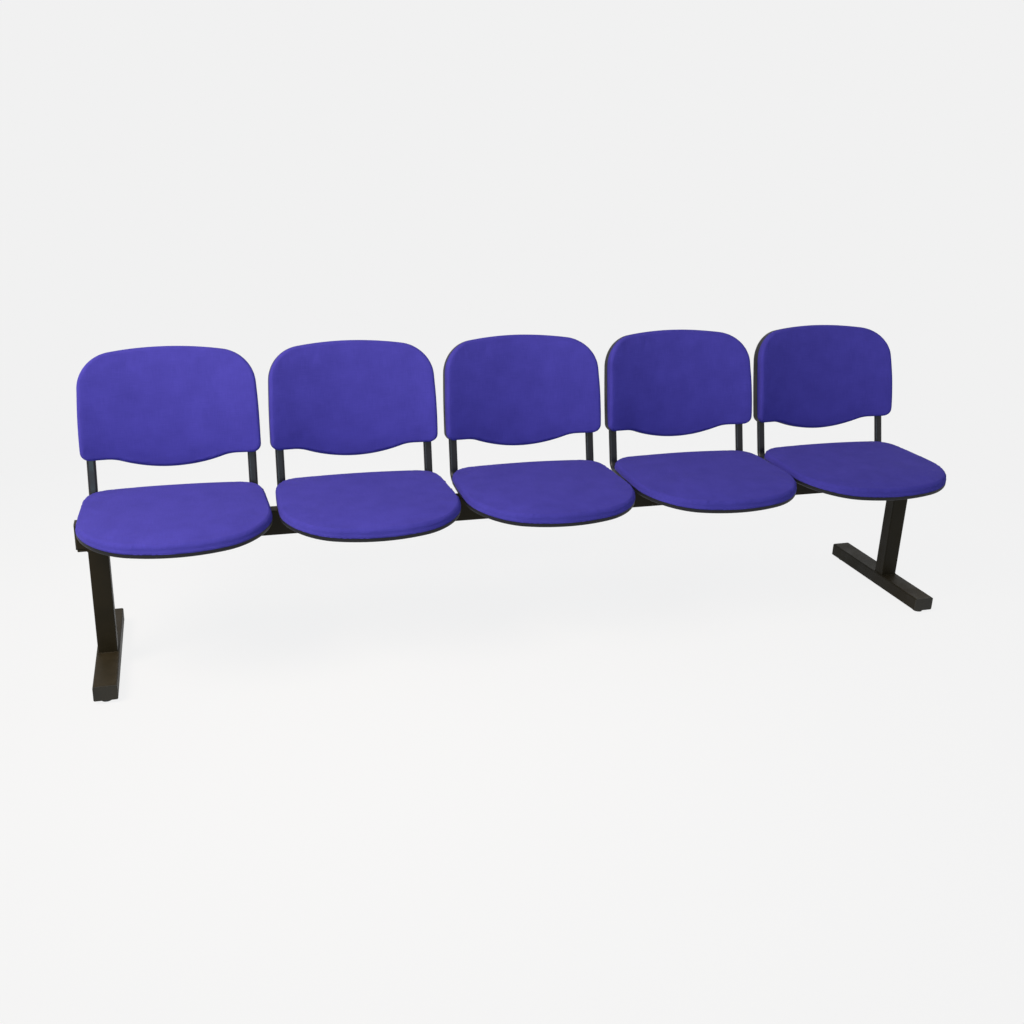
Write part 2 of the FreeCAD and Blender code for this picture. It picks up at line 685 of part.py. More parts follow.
def seat_outline():
    """Plan of the seat: round nose and flanks, nearly straight sides, bowed rear."""
    half = size("seat_width") / 2
    nose_r, flank_r = size("seat_nose_radius"), size("seat_flank_radius")
    side_r, corner_r = size("seat_side_radius"), size("seat_rear_corner")
    rear_r = size("seat_rear_radius")
    nose = Vector(0, seat_nose + nose_r, 0)
    flank_x = half - flank_r
    flank = Vector(flank_x, nose.y - math.sqrt((nose_r - flank_r) ** 2 - flank_x**2), 0)
    side = Vector(half - side_r, flank.y, 0)
    rear = Vector(0, seat_tail - rear_r, 0)
    corner = circle_inside(side, side_r - corner_r, rear, rear_r - corner_r, 1)
    nose_end = heading(nose, flank)
    corner_start, corner_end = heading(side, corner), heading(rear, corner)
    right = [
        Arc(flank.x, flank.y, flank_r, nose_end, 0),
        Arc(side.x, side.y, side_r, 0, corner_start),
        Arc(corner.x, corner.y, corner_r, corner_start, corner_end),
    ]
    nose_arc = Arc(nose.x, nose.y, nose_r, -180 - nose_end, nose_end)
    rear_arc = Arc(rear.x, rear.y, rear_r, corner_end, 180 - corner_end)
    return [nose_arc] + right + [rear_arc] + [arc.mirrored() for arc in reversed(right)]


def back_outline():
    """Front view of the back: arched top, flared sides, tabs and a lobe below."""
    half = size("back_width") / 2
    top_r, shoulder_r = size("back_top_radius"), size("back_shoulder")
    side_r, corner_r = size("back_side_radius"), size("back_corner")
    lobe_r, blend_r, drop = size("back_lobe_radius"), size("back_blend_radius"), size("back_lobe")
    top = Vector(0, size("back_height") - top_r, 0)
    side = Vector(half - side_r, corner_r, 0)
    shoulder = circle_inside(side, side_r - shoulder_r, top, top_r - shoulder_r, 1)
    lobe = Vector(0, lobe_r - drop, 0)
    blend = Vector(math.sqrt((lobe_r + blend_r) ** 2 - (lobe.y + blend_r) ** 2), -blend_r, 0)
    lobe_end = heading(lobe, blend)
    shoulder_start, shoulder_end = heading(side, shoulder), heading(top, shoulder)
    right = [
        Arc(blend.x, blend.y, blend_r, lobe_end + 180, 90, -1),
        Arc(half - corner_r, corner_r, corner_r, -90, 0),
        Arc(side.x, side.y, side_r, 0, shoulder_start),
        Arc(shoulder.x, shoulder.y, shoulder_r, shoulder_start, shoulder_end),
    ]
    lobe_arc = Arc(lobe.x, lobe.y, lobe_r, -180 - lobe_end, lobe_end)
    top_arc = Arc(top.x, top.y, top_r, shoulder_end, 180 - shoulder_end)
    return [lobe_arc] + right + [top_arc] + [arc.mirrored() for arc in reversed(right)]


seat_arcs = seat_outline()
back_arcs = back_outline()


def seat_slab(low, high, inset=0, crown=0):
    """Slab of the seat's plan between two heights, turned down in front, its upper face
    higher in the middle than at the widest place by the crown."""
    spare = size("seat_pad_height")
    half = size("seat_width") / 2 + spare
    side = high
    if crown:
        crown_radius = (size("seat_width") ** 2 / 4 + crown**2) / (2 * crown)
        side = high - crown_radius + math.sqrt(crown_radius**2 - half**2)
    corners = [(-half, side), (-half, low), (half, low), (half, side)]
    points = [Vector(x, seat_bend_y, z) for x, z in corners]
    lines = [Part.makeLine(points[i], points[i + 1]) for i in range(3)]
    top = Part.makeLine(points[3], points[0])
    if crown:
        top = Part.Arc(points[3], Vector(0, seat_bend_y, high), points[0]).toShape()
    section = Part.Face(Part.Wire(lines + [top]))
    flat = section.extrude(Vector(0, seat_tail + spare - seat_bend_y, 0))
    turn = math.asin((size("seat_bend_length") + spare) / size("seat_bend_radius"))
    axis = Vector(0, seat_bend_y, seat_bend_z)
    front = section.revolve(axis, Vector(1, 0, 0), math.degrees(turn))
    plan = outline_face(seat_arcs, inset)
    plan.translate(Vector(0, 0, low - size("seat_bend_length")))
    block = plan.extrude(Vector(0, 0, high - low + 2 * size("seat_bend_length")))
    return block.common(flat.fuse(front)).removeSplitter()


def unbent_height(point):
    """Height that a point of the seat would have if its front didn't turn down."""
    if point.y > seat_bend_y:
        return point.z
    reach = math.hypot(point.y - seat_bend_y, point.z - seat_bend_z)
    return reach + seat_bend_z


def back_block(inset=0):
    """Block of the back's front view, deep enough for any layer of the back."""
    reach = cover_outer_radius
    face = outline_face(back_arcs, inset)
    face.rotate(Vector(), Vector(1, 0, 0), 90)
    face.translate(Vector(0, reach / 2, 0))
    return face.extrude(Vector(0, -reach, 0))


def bent_layer(inner, outer):
    """Layer of the back between two radii about the bend's upright axis."""
    low = -2 * size("back_lobe")
    tall = 2 * size("back_height")
    axis = Vector(0, -board_front_radius, low)
    return Part.makeCylinder(outer, tall, axis).cut(Part.makeCylinder(inner, tall, axis))


def edges_where(shape, test):
    """Edges whose points all pass a test."""
    chosen = []
    for edge in shape.Edges:
        middle = edge.valueAt((edge.FirstParameter + edge.LastParameter) / 2)
        points = [vertex.Point for vertex in edge.Vertexes] + [middle]
        if all(test(point) for point in points):
            chosen.append(edge)
    return chosen


def at_radius(radius):
    """Test for points on a cylinder about the bend's axis."""
    return lambda p: abs(math.hypot(p.x, p.y + board_front_radius) - radius) < 0.01


def seat_pad_shape():
    """Cushion: a crowned slab, rounded above and tucked in below."""
    block = seat_slab(seat_rim, seat_top, crown=size("seat_crown"))
    tuck = size("pad_tuck")
    upper = edges_where(block, lambda p: unbent_height(p) > seat_rim + tuck and on_rim(p))
    block = block.makeFillet(size("seat_edge_round"), upper)
    lower = edges_where(block, lambda p: abs(unbent_height(p) - seat_rim) < 0.01 and on_rim(p))
    return block.makeFillet(tuck, lower).Solids[0]


def on_rim(point):
    """Whether a point lies on the wall of the seat's plan."""
    wall = outline_face(seat_arcs).OuterWire
    flat = Part.Vertex(point.x, point.y, 0)
    return wall.distToShape(flat)[0] < 0.01


def seat_board_shape():
    """Plywood board in the cover's tray, with blind holes for the screws."""
    inset = size("cover_wall") + size("board_clearance")
    board = seat_slab(seat_board_bottom, seat_rim, inset)
    return board.cut(seat_screw_holes()).Solids[0]


def seat_cover_shape():
    """Moulded tray under the seat: thin floor and rim, rounded below."""
    outer = seat_slab(saddle_top, seat_rim)
    lower = edges_where(outer, lambda p: abs(unbent_height(p) - saddle_top) < 0.01 and on_rim(p))
    outer = outer.makeFillet(size("seat_cover_round"), lower)
    tray = outer.cut(seat_slab(seat_board_bottom, seat_top, size("cover_wall")))
    return tray.cut(seat_screw_holes()).Solids[0]


def seat_screw_points():
    """Underside of the seat plate where the screws of one seat go up."""
    half = size("seat_screw_spacing") / 2
    return [
        Vector(across * half, beam_y + along, beam_top)
        for across in (-1, 1)
        for along in (-size("seat_screw_front"), size("seat_screw_rear"))
    ]


def seat_screw_holes():
    """Clear holes round the screws of one seat, blind just past their tips."""
    radius = size("screw_radius") + size("hole_clearance")
    depth = size("seat_screw_length") + size("hole_clearance")
    return Part.makeCompound([Part.makeCylinder(radius, depth, at) for at in seat_screw_points()])


def back_pad_shape():
    """Cushion bent round the sitter, swelling at mid height, rounded at the front."""
    low = -size("back_lobe") - size("back_edge_round")
    high = size("back_height") + size("back_edge_round")
    rear, edge = board_front_radius, pad_front_radius
    # Section of the layer, drawn on the far side of the bend's axis
    axis_y = -board_front_radius
    ring = ((edge, low), (edge, high), (rear, high), (rear, low))
    corners = [Vector(0, axis_y - radius, z) for radius, z in ring]
    fullest = Vector(0, axis_y - edge + size("back_crown"), (low + high) / 2)
    swell = Part.Arc(corners[0], fullest, corners[1])
    lines = [Part.makeLine(corners[i], corners[(i + 1) % 4]) for i in (1, 2, 3)]
    section = Part.Face(Part.Wire([swell.toShape()] + lines))
    layer = section.revolve(Vector(0, axis_y, 0), Vector(0, 0, 1), 360)
    block = back_block().common(layer)
    front = edges_where(block, lambda p: math.hypot(p.x, p.y - axis_y) < edge + 1)
    block = block.makeFillet(size("back_edge_round"), front)
    tuck = edges_where(block, at_radius(rear))
    return block.makeFillet(size("pad_tuck"), tuck).Solids[0]


def back_board_shape():
    """Moulded board in the back cover's rim, with blind holes for the screws."""
    inset = size("cover_wall") + size("board_clearance")
    board = back_block(inset).common(bent_layer(board_front_radius, board_rear_radius))
    radius = size("screw_radius") + size("hole_clearance")
    depth = size("back_screw_length") + size("hole_clearance")
    for point in back_screw_points():
        board = board.cut(Part.makeCylinder(radius, depth, point, Vector(0, -1, 0)))
    return board.Solids[0]


def back_cover_shape():
    """Moulded cover behind the back: a bent tray with a slot for each tube."""
    outer = back_block().common(bent_layer(board_front_radius, cover_outer_radius))
    rear_edges = edges_where(outer, at_radius(cover_outer_radius))
    outer = outer.makeFillet(size("back_cover_round"), rear_edges)
    inner = back_block(size("cover_wall")).common(bent_layer(pad_front_radius, cover_inner_radius))
    inner_round = size("back_cover_round") - size("cover_wall")
    inner = inner.makeFillet(inner_round, edges_where(inner, at_radius(cover_inner_radius)))
    tray = outer.cut(inner)
    for sign in (-1, 1):
        tray = tray.cut(tube_slot(sign * half_tubes))
    return tray.Solids[0]


def tube_slot(x):
    """Flat oval hole round one tube, through the lower wall of the back cover."""
    radius = size("tube_depth") / 2 + size("tube_slot_clearance")
    half = (size("tube_width") - size("tube_depth")) / 2
    low = -size("cover_wall")
    tall = size("back_corner") + 2 * size("cover_wall")
    slot = Part.makeBox(2 * half, 2 * radius, tall, Vector(x - half, tube_in_back_y - radius, low))
    for end in (-half, half):
        slot = slot.fuse(Part.makeCylinder(radius, tall, Vector(x + end, tube_in_back_y, low)))
    return slot


def back_screw_points():
    """Rear of the tubes where the screws of one back go in, in the back's own frame."""
    rear = tube_in_back_y + size("tube_depth") / 2
    return [
        Vector(sign * half_tubes, rear, size(height))
        for sign in (-1, 1)
        for height in ("back_screw_low", "back_screw_high")
    ]


def back_place(x):
    """Place of a back: leaning, with its corner tabs above the seat's rear."""
    foot = Vector(x, beam_y + size("back_base_setback"), back_base)
    return Placement(foot, Rotation(Vector(1, 0, 0), -size("back_lean")))


# The object


def upholstery(number, x, shapes):
    """Pads, boards and covers of one place, from the shapes that all places share."""
    for name, shape in shapes.items():
        feature = doc.addObject("Part::Feature", "%s_%d" % (name, number))
        feature.Shape = shape
        if name.startswith("back"):
            feature.Placement = back_place(x)
        else:
            feature.Placement = Placement(Vector(x, 0, 0), Rotation())
        keep(feature, "%s_%d" % (name, number))


def fasteners():
    """Groups of identical bolts and screws."""
    leg_bolt = bolt_master("leg_bolt", "sizes.leg_bolt_length")
    saddle_bolt = bolt_master("saddle_bolt", "sizes.saddle_bolt_length")
    seat_screw = screw_master("seat_screw", "sizes.seat_screw_length")
    back_screw = screw_master("back_screw", "sizes.back_screw_length")
    leg_bolts, saddle_bolts, seat_screws, back_screws = [], [], [], []
    plate_bottom = beam_bottom - size("leg_plate_thickness")
    for _, leg in sides:
        for _, end in sides:
            x = leg * half_legs + end * size("leg_bolt_spacing") / 2
            leg_bolts.append((leg_bolt, Placement(Vector(x, beam_y, plate_bottom), Rotation())))
    ear_front = beam_y - size("beam_depth") / 2 - size("saddle_beam_gap") - size("saddle_thickness")
    bolt_level = beam_top - size("saddle_bolt_drop")
    rearwards = Rotation(Vector(1, 0, 0), -90)
    forwards = Rotation(Vector(1, 0, 0), 90)
    for _, x in places:
        for _, end in sides:
            at = Vector(x + end * size("saddle_bolt_spacing") / 2, ear_front, bolt_level)
            saddle_bolts.append((saddle_bolt, Placement(at, rearwards)))
        for point in seat_screw_points():
            seat_screws.append((seat_screw, Placement(point + Vector(x, 0, 0), Rotation())))
        for point in back_screw_points():
            back_screws.append((back_screw, back_place(x).multiply(Placement(point, forwards))))
    group("leg_bolts", leg_bolts)
    group("saddle_bolts", saddle_bolts)
    group("seat_screws", seat_screws)
    group("back_screws", back_screws)


def end_caps():
    """Caps in the ends of the beam, and in the ends of the feet."""
    beam = ["sizes.beam_" + name for name in ("depth", "height", "wall", "corner")]
    foot = ["sizes.foot_" + name for name in ("width", "height", "wall", "corner")]
    beam_cap = cap_master("beam_cap_master", *beam)
    foot_cap = cap_master("foot_cap_master", *foot)
    beam_caps, foot_caps = [], []
    beam_middle = beam_bottom + size("beam_height") / 2
    foot_middle = foot_top - size("foot_height") / 2
    foot_y = beam_y + size("foot_setback")
    for _, sign in sides:
        end = Vector(sign * half_beam, beam_y, beam_middle)
        beam_caps.append((beam_cap, Placement(end, Rotation(Vector(0, 0, 1), 90 - sign * 90))))
        for _, end_sign in sides:
            tip = foot_y + end_sign * size("foot_length") / 2
            end = Vector(sign * half_legs, tip, foot_middle)
            foot_caps.append((foot_cap, Placement(end, Rotation(Vector(0, 0, 1), end_sign * 90))))
    group("beam_end_caps", beam_caps)
    group("foot_end_caps", foot_caps)


make_beam()
for side, sign in sides:
    make_leg(side, sign)
    make_foot(side, sign)
    for end, end_sign in (("front", -1), ("rear", 1)):
        make_glide(side, sign, end, end_sign)
end_caps()

shared_shapes = {
    "seat_pad": seat_pad_shape(),
    "seat_board": seat_board_shape(),
    "seat_cover": seat_cover_shape(),
    "back_pad": back_pad_shape(),
    "back_board": back_board_shape(),
    "back_cover": back_cover_shape(),
}
for number, x in places:
    make_bracket(number, x)
    for side, sign in sides:
        make_tube(number, x, side, sign)
    upholstery(number, x, shared_shapes)
fasteners()

doc.recompute()
for thing in doc.Objects:
    if "Invalid" in thing.State or "Error" in thing.State:
        raise RuntimeError("%s did not build: %s" % (thing.Label, thing.State))
for node in nodes:
    if node.Shape.isNull() or not node.Shape.isValid():
        raise RuntimeError("%s has no valid shape" % node.Label)

os.makedirs("parts", exist_ok=True)
for node in nodes:
    node.Shape.exportStep("parts/%s.step" % node.Label)
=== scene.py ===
import json
import math

import bmesh
import bpy
import numpy as np
from mathutils import Matrix, Vector, noise
from mathutils.bvhtree import BVHTree


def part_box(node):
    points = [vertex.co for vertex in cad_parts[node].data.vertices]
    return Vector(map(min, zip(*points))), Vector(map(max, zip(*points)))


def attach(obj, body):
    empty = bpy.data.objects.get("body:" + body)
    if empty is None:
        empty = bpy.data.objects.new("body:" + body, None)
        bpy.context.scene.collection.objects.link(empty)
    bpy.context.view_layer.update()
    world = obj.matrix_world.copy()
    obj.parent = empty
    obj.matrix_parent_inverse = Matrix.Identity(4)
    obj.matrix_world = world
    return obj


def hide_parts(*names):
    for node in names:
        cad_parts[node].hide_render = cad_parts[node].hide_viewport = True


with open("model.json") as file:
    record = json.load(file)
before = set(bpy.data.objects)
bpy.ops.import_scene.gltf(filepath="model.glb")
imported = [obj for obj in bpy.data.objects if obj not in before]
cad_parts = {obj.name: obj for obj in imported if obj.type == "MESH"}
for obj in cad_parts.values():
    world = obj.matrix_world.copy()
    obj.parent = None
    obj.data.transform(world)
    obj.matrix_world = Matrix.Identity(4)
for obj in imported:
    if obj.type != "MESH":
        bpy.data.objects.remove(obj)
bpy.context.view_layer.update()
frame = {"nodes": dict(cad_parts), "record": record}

# Beam seating: five upholstered places on a steel beam with two T-shaped legs.
# Metres. X runs along the beam, -Y is the front, Z is up.

scene = bpy.context.scene
nodes = frame["nodes"]

PLACES = (1, 2, 3, 4, 5)
PITCH = 0.5
MIDDLE = 3
BODY = "bench"

# Backs: leaning, and bent round the sitter
BACK_LEAN = math.radians(14)
BACK_BEND = 0.7

# Seats: level on their boards, and turned down in front
SEAT_OVERHANG = 0.269
SEAT_BEND_LENGTH = 0.155
SEAT_BEND_RADIUS = 0.9

beam_low, beam_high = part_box("beam")
beam_y = (beam_low.y + beam_high.y) / 2
seat_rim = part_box("seat_board_%d" % MIDDLE)[1].z
seat_bend_y = beam_y - SEAT_OVERHANG + SEAT_BEND_LENGTH
seat_bend_z = seat_rim - SEAT_BEND_RADIUS


# Materials

CLOTH_DARK = "#3C3894"
CLOTH_LIGHT = "#4742A8"
# Painted shade: the colour that darkens the gaps between the yarns
CLOTH_GAP_SHADE = "#241F62"

# Where a glide's nylon collar ends and its thread begins
NYLON_TOP = 0.0101
THREAD_PITCH = 0.0015
PLY = 0.0015


def linear(code):
    """sRGB hex colour as linear red, green, blue and alpha."""
    channels = [int(code[i : i + 2], 16) / 255 for i in (1, 3, 5)]
    bright = [c / 12.92 if c <= 0.04045 else ((c + 0.055) / 1.055) ** 2.4 for c in channels]
    return (*bright, 1.0)


def add(tree, kind, inputs=None, **settings):
    """Node of a kind with its settings, its inputs given as numbers or as other nodes' outputs."""
    made = tree.nodes.new(kind)
    for name, setting in settings.items():
        setattr(made, name, setting)
    for name, source in (inputs or {}).items():
        if isinstance(source, bpy.types.NodeSocket):
            tree.links.new(source, made.inputs[name])
        else:
            made.inputs[name].default_value = source
    return made


def new_material(name, **values):
    """Material with one shader, whose even values sit on its own sockets."""
    material = bpy.data.materials.new(name)
    material.use_nodes = True
    tree = material.node_tree
    tree.nodes.clear()
    shader = add(tree, "ShaderNodeBsdfPrincipled", values)
    add(tree, "ShaderNodeOutputMaterial", {"Surface": shader.outputs[0]})
    return material, tree, shader


def feed(tree, shader, **sources):
    """Links outputs to the shader's sockets."""
    for name, source in sources.items():
        tree.links.new(source, shader.inputs[name.replace("_", " ")])


def object_point(tree):
    """Position on the piece, in metres."""
    return add(tree, "ShaderNodeTexCoord").outputs["Object"]


def colour_between(tree, factor, low, high, start=0.0, end=1.0):
    """Colour that goes from one hex value to another as a factor rises."""
    ramp = add(tree, "ShaderNodeValToRGB", {"Fac": factor})
    ramp.color_ramp.elements[0].position = start
    ramp.color_ramp.elements[0].color = linear(low)
    ramp.color_ramp.elements[1].position = end
    ramp.color_ramp.elements[1].color = linear(high)
    return ramp.outputs["Color"]


def spread(tree, factor, low, high, start=0.0, end=1.0):
    """Number that goes from one value to another as a factor rises."""
    inputs = {"Value": factor, "From Min": start, "From Max": end, "To Min": low, "To Max": high}
    return add(tree, "ShaderNodeMapRange", inputs).outputs["Result"]


def blotches(tree, point, size_mm, detail=2.0, roughness=0.5):
    """Soft noise whose blotches are about that size."""
    inputs = {"Vector": point, "Scale": 1000 / size_mm, "Detail": detail, "Roughness": roughness}
    return add(tree, "ShaderNodeTexNoise", inputs).outputs["Fac"]


def maths(tree, operation, first, second=0.0, third=0.0):
    """Arithmetic on two or three numbers."""
    inputs = {0: first, 1: second, 2: third}
    return add(tree, "ShaderNodeMath", inputs, operation=operation).outputs[0]


def relief(tree, shader, height, depth_mm, under=None):
    """Bump from a height of 0 to 1 that stands for so many millimetres."""
    inputs = {"Height": height, "Distance": depth_mm / 1000, "Strength": 1.0}
    if under:
        inputs["Normal"] = under
    bump = add(tree, "ShaderNodeBump", inputs).outputs["Normal"]
    feed(tree, shader, Normal=bump)
    return bump


def mixed(tree, factor, first, second):
    """Colour between two colours given as outputs or as linear values."""
    inputs = {"Factor": factor, "A": first, "B": second}
    return add(tree, "ShaderNodeMix", inputs, data_type="RGBA").outputs["Result"]


def upholstery_cloth():
    """Contract polyester, plain weave, piece dyed violet blue: matt, with a soft violet
    sheen at grazing angles, and slightly uneven yarns that give a fine heather."""
    material, tree, shader = new_material(
        "polyester_plain_weave",
        **{
            "Roughness": 0.88,
            "Specular IOR Level": 0.15,
            "Sheen Weight": 0.12,
            "Sheen Roughness": 0.4,
            "Sheen Tint": linear("#8A80E8"),
        }
    )
    cloth = add(tree, "ShaderNodeUVMap", uv_map="cloth").outputs["UV"]
    split = add(tree, "ShaderNodeSeparateXYZ", {"Vector": cloth})
    # The real yarns lie 0.7 mm apart; drawn at 1.6 mm, as fine as a close view shows.
    yarn = 0.0016
    warp = maths(tree, "SINE", maths(tree, "MULTIPLY", split.outputs["X"], math.pi / yarn))
    weft = maths(tree, "SINE", maths(tree, "MULTIPLY", split.outputs["Y"], math.pi / yarn))
    crossing = maths(tree, "ABSOLUTE", maths(tree, "MULTIPLY", warp, weft))
    # Slubs: streaks 2 mm wide and 40 mm long in both directions
    along = add(tree, "ShaderNodeMapping", {"Vector": cloth, "Scale": (1, 0.05, 1)}).outputs[0]
    across = add(tree, "ShaderNodeMapping", {"Vector": cloth, "Scale": (0.05, 1, 1)}).outputs[0]
    slubs = maths(tree, "ADD", blotches(tree, along, 2.0), blotches(tree, across, 2.0))
    tone = maths(tree, "MULTIPLY_ADD", blotches(tree, object_point(tree), 60, 2.0), 0.4, 0.0)
    tone = maths(tree, "MULTIPLY_ADD", slubs, 0.3, tone)
    base = colour_between(tree, tone, CLOTH_DARK, CLOTH_LIGHT, 0.34, 0.66)
    # Painted shade: the gaps between the yarns are painted darker.
    shade = mixed(tree, spread(tree, crossing, 0.18, 0.0), base, linear(CLOTH_GAP_SHADE))
    feed(tree, shader, Base_Color=shade)
    wrinkles = relief(tree, shader, blotches(tree, object_point(tree), 45, 1.0), 0.25)
    relief(tree, shader, crossing, 0.28, wrinkles)
    return material


def powder_coat(name, low, high, worn_dusty_and_lit, roughness, gloss):
    """Satin powder coat on mild steel: even colour under a fine orange peel, painted lighter along the
    edges for wear and for a painted highlight, and painted lighter on what faces up for a dusty film
    and a painted sheen."""
    material, tree, shader = new_material(name, **{"Specular IOR Level": gloss})
    point = object_point(tree)
    base = colour_between(tree, blotches(tree, point, 120, 3.0), low, high, 0.35, 0.7)
    plain = add(tree, "ShaderNodeNewGeometry").outputs["Normal"]
    rounded = add(tree, "ShaderNodeBevel", {"Radius": 0.0015}, samples=4).outputs["Normal"]
    inputs = {0: plain, 1: rounded}
    alike = add(tree, "ShaderNodeVectorMath", inputs, operation="DOT_PRODUCT").outputs["Value"]
    edges = spread(tree, alike, 0.45, 0.0, 0.9, 0.99)
    # Painted highlight and wear: the edges are painted paler, for real rubbing and for the highlight
    # that runs along them.
    rubbed_and_highlit = maths(tree, "MULTIPLY", edges, blotches(tree, point, 14, 4.0))
    # Painted sheen and dirt: what faces up is painted paler, for a dusty film and for the sheen of
    # light on top faces.
    up = add(tree, "ShaderNodeSeparateXYZ", {"Vector": plain}).outputs["Z"]
    faces_up = spread(tree, up, 0.0, 0.22, 0.6, 1.0)
    dust_and_sheen = maths(tree, "MULTIPLY", faces_up, blotches(tree, point, 35, 4.0))
    pale = maths(tree, "MAXIMUM", rubbed_and_highlit, dust_and_sheen)
    feed(tree, shader, Base_Color=mixed(tree, pale, base, linear(worn_dusty_and_lit)))
    handled = blotches(tree, point, 60, 4.0, 0.6)
    feed(tree, shader, Roughness=spread(tree, handled, roughness - 0.08, roughness + 0.12, 0.3, 0.7))
    # Orange peel of powder coat is 0.8 to 1.5 mm wide; drawn at 2 mm.
    relief(tree, shader, blotches(tree, point, 2.0, 1.0), 0.03, rounded)
    return material


def moulded_plastic(name, low, high, grain_mm=1.2, roughness=0.55):
    """Injection-moulded polypropylene, spark-eroded tool: fine pebbled grain, soft gloss."""
    material, tree, shader = new_material(name, **{"IOR": 1.49, "Specular IOR Level": 0.3})
    point = object_point(tree)
    tone = blotches(tree, point, 80, 3.0)
    feed(tree, shader, Base_Color=colour_between(tree, tone, low, high, 0.35, 0.7))
    feed(tree, shader, Roughness=spread(tree, tone, roughness - 0.05, roughness + 0.1, 0.3, 0.7))
    # Real grain is 0.3 to 0.6 mm; drawn coarser so that a close view shows it.
    grain = add(
        tree, "ShaderNodeTexVoronoi", {"Vector": point, "Scale": 1000 / grain_mm}, feature="SMOOTH_F1"
    )
    relief(tree, shader, grain.outputs["Distance"], 0.1)
    return material


def zinc_plate():
    """Bright zinc plating on steel fasteners: grey metal, cloudy, fine turned lines."""
    material, tree, shader = new_material("zinc_plated_steel", **{"Metallic": 1.0})
    point = object_point(tree)
    cloudy = blotches(tree, point, 6, 4.0)
    feed(tree, shader, Base_Color=colour_between(tree, cloudy, "#9A9B9C", "#C2C3C1", 0.3, 0.7))
    feed(tree, shader, Roughness=spread(tree, cloudy, 0.28, 0.46, 0.3, 0.7))
    relief(tree, shader, blotches(tree, point, 0.8, 2.0), 0.02)
    return material


def birch_plywood(name, across):
    """Birch plywood: pale long grain on its faces, and plies 1.5 mm thick on its edges."""
    material, tree, shader = new_material(name, **{"Roughness": 0.62})
    point = object_point(tree)
    grain = add(tree, "ShaderNodeMapping", {"Vector": point, "Scale": (0.04, 1, 1)}).outputs[0]
    fibres = blotches(tree, grain, 2.5, 5.0, 0.6)
    face = colour_between(tree, fibres, "#B48E5E", "#DCC094", 0.3, 0.7)
    split = add(tree, "ShaderNodeSeparateXYZ", {"Vector": point}).outputs[across]
    plies = maths(tree, "SINE", maths(tree, "MULTIPLY", split, math.pi / PLY))
    dark_ply = spread(tree, plies, 0.0, 0.35, -0.2, 0.2)
    feed(tree, shader, Base_Color=mixed(tree, dark_ply, face, linear("#8A6238")))
    relief(tree, shader, fibres, 0.08)
    return material


def glide_finish():
    """Black nylon pad and collar below, zinc-plated M10 thread above."""
    material, tree, shader = new_material("nylon_pad_and_zinc_stem", **{"IOR": 1.52})
    point = object_point(tree)
    height = add(tree, "ShaderNodeSeparateXYZ", {"Vector": point}).outputs["Z"]
    stem = spread(tree, height, 0.0, 1.0, NYLON_TOP, NYLON_TOP + 0.0002)
    scuffs = blotches(tree, point, 4, 4.0, 0.6)
    nylon = colour_between(tree, scuffs, "#141413", "#26251F", 0.35, 0.75)
    zinc = colour_between(tree, scuffs, "#8E8F90", "#B9BAB8", 0.3, 0.7)
    feed(tree, shader, Base_Color=mixed(tree, stem, nylon, zinc), Metallic=stem)
    feed(tree, shader, Roughness=spread(tree, stem, 0.5, 0.35))
    thread = maths(tree, "SINE", maths(tree, "MULTIPLY", height, 2 * math.pi / THREAD_PITCH))
    relief(tree, shader, maths(tree, "MULTIPLY", thread, stem), 0.4)
    return material


cloth = upholstery_cloth()
# The third colour of each coat is painted highlight and sheen as well as wear and a dusty film.
frame_coat = powder_coat("powder_coat_warm_black", "#181409", "#211C10", "#5A5343", 0.5, 0.12)
tube_coat = powder_coat("powder_coat_black", "#0C0C11", "#141419", "#4A4A50", 0.34, 0.35)
cover_plastic = moulded_plastic("polypropylene_black", "#09090F", "#101018")
cap_plastic = moulded_plastic("polyethylene_cap_black", "#1A1812", "#29261E", 1.5, 0.5)

finishes = {
    "upholstery": cloth,
    "seat_board": birch_plywood("birch_plywood_flat", "Z"),
    "back_board": birch_plywood("birch_plywood_bent", "Y"),
    "cover": cover_plastic,
    "seat_frame": tube_coat,
    "beam_and_legs": frame_coat,
    "end_cap": cap_plastic,
    "glide": glide_finish(),
    "fastener": zinc_plate(),
}

for part in frame["record"]["subparts"]:
    mesh = nodes[part["node"]].data
    mesh.materials.clear()
    mesh.materials.append(finishes[part["material_slot"]])


# Cushions

# The cloth's mesh, how much smaller it starts, and how far it may swell
CUSHION_VOXEL = 0.006
CUSHION_SPARE = 0.002
CUSHION_SWELL = 0.006
# How far the drawn-in cloth leaves the plain shape, and one cushion differs from the next,
# in soft waves about 110 mm long
CUSHION_LEEWAY = 0.0016
CUSHION_DIFFERENCE = 0.0005
CUSHION_WAVES = 9
# How high up its edge the cloth is held to the board, and what counts as lying on the board
STAPLED = 0.004
ON_BOARD = 0.0003


def copied(node, name):
    """Merged copy of a CAD node's mesh, as a new piece."""
    mesh = nodes[node].data.copy()
    mesh.name = name
    body = bmesh.new()
    body.from_mesh(mesh)
    bmesh.ops.remove_doubles(body, verts=body.verts, dist=1e-5)
    bmesh.ops.recalc_face_normals(body, faces=body.faces)
    body.to_mesh(mesh)
    body.free()
    piece = bpy.data.objects.new(name, mesh)
    scene.collection.objects.link(piece)
    return piece


def points_of(mesh):
    """Vertex positions as rows."""
    flat = np.zeros(len(mesh.vertices) * 3)
    mesh.vertices.foreach_get("co", flat)
    return flat.reshape(-1, 3)


def place_points(mesh, points):
    """Moves the mesh's vertices to these rows."""
    mesh.vertices.foreach_set("co", np.ascontiguousarray(points).ravel())
    mesh.update()


